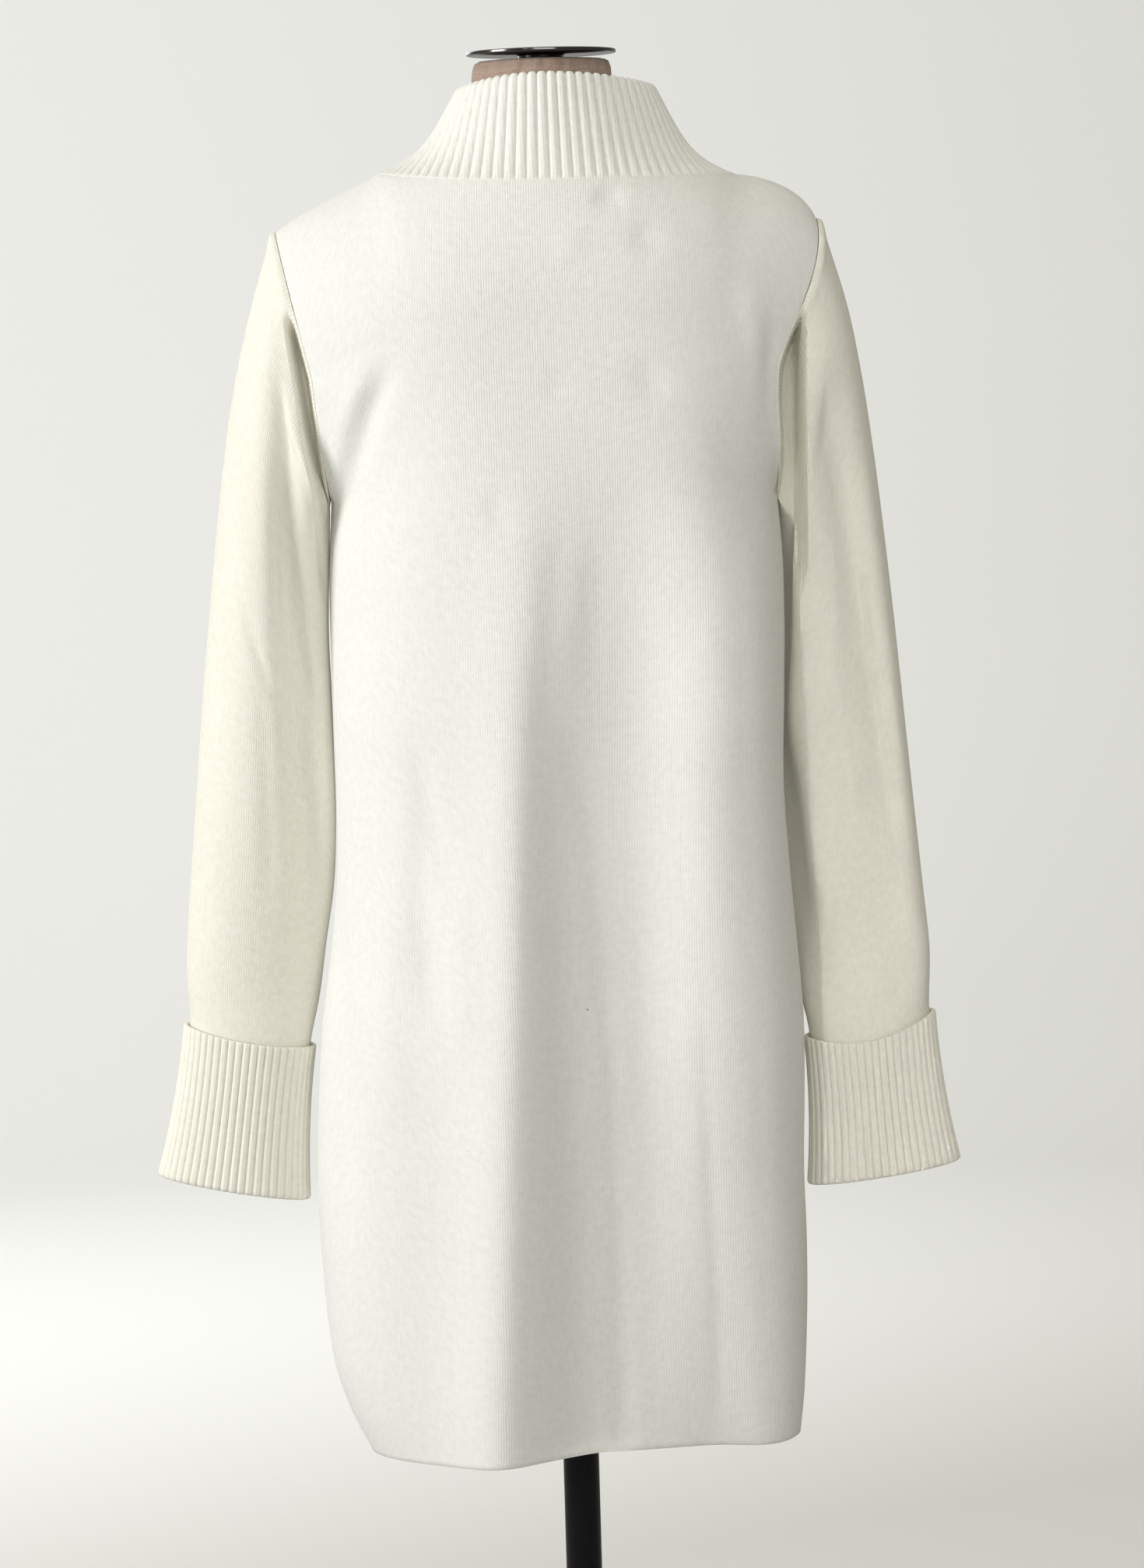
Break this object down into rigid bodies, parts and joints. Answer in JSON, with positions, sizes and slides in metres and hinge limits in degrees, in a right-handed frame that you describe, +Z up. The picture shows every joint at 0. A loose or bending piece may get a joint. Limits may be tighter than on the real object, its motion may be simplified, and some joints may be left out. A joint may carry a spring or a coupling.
{
  "type": "cardigan on a dress form",
  "caption": "Long open-front knitted cardigan with a ribbed funnel collar and turned-back ribbed cuffs, standing on a limbless dress form with a round base.",
  "frame": {"origin": "on the floor, at the middle of the round base's underside, under the pole", "axes": "+Z up along the pole, -Y the way the front of the cardigan faces, +X the wearer's left"},
  "size_m": [0.5757, 0.35, 1.5158],
  "materials": {
    "knit": "matte smooth double knit, ivory",
    "rib": "matte chunky rib knit, ivory",
    "linen": "stretched plain linen",
    "cap_metal": "dark polished chrome",
    "stand_paint": "satin black paint"
  },
  "bodies": {
    "root": {"back_panel": "knit", "front_left": "knit", "front_right": "knit", "sleeve_left": "knit", "sleeve_right": "knit", "cuff_left": "rib", "cuff_right": "rib", "collar": "rib", "form_torso": "linen", "neck_cap": "cap_metal", "stand_pole": "stand_paint", "stand_base": "stand_paint"}
  },
  "joints": []
}
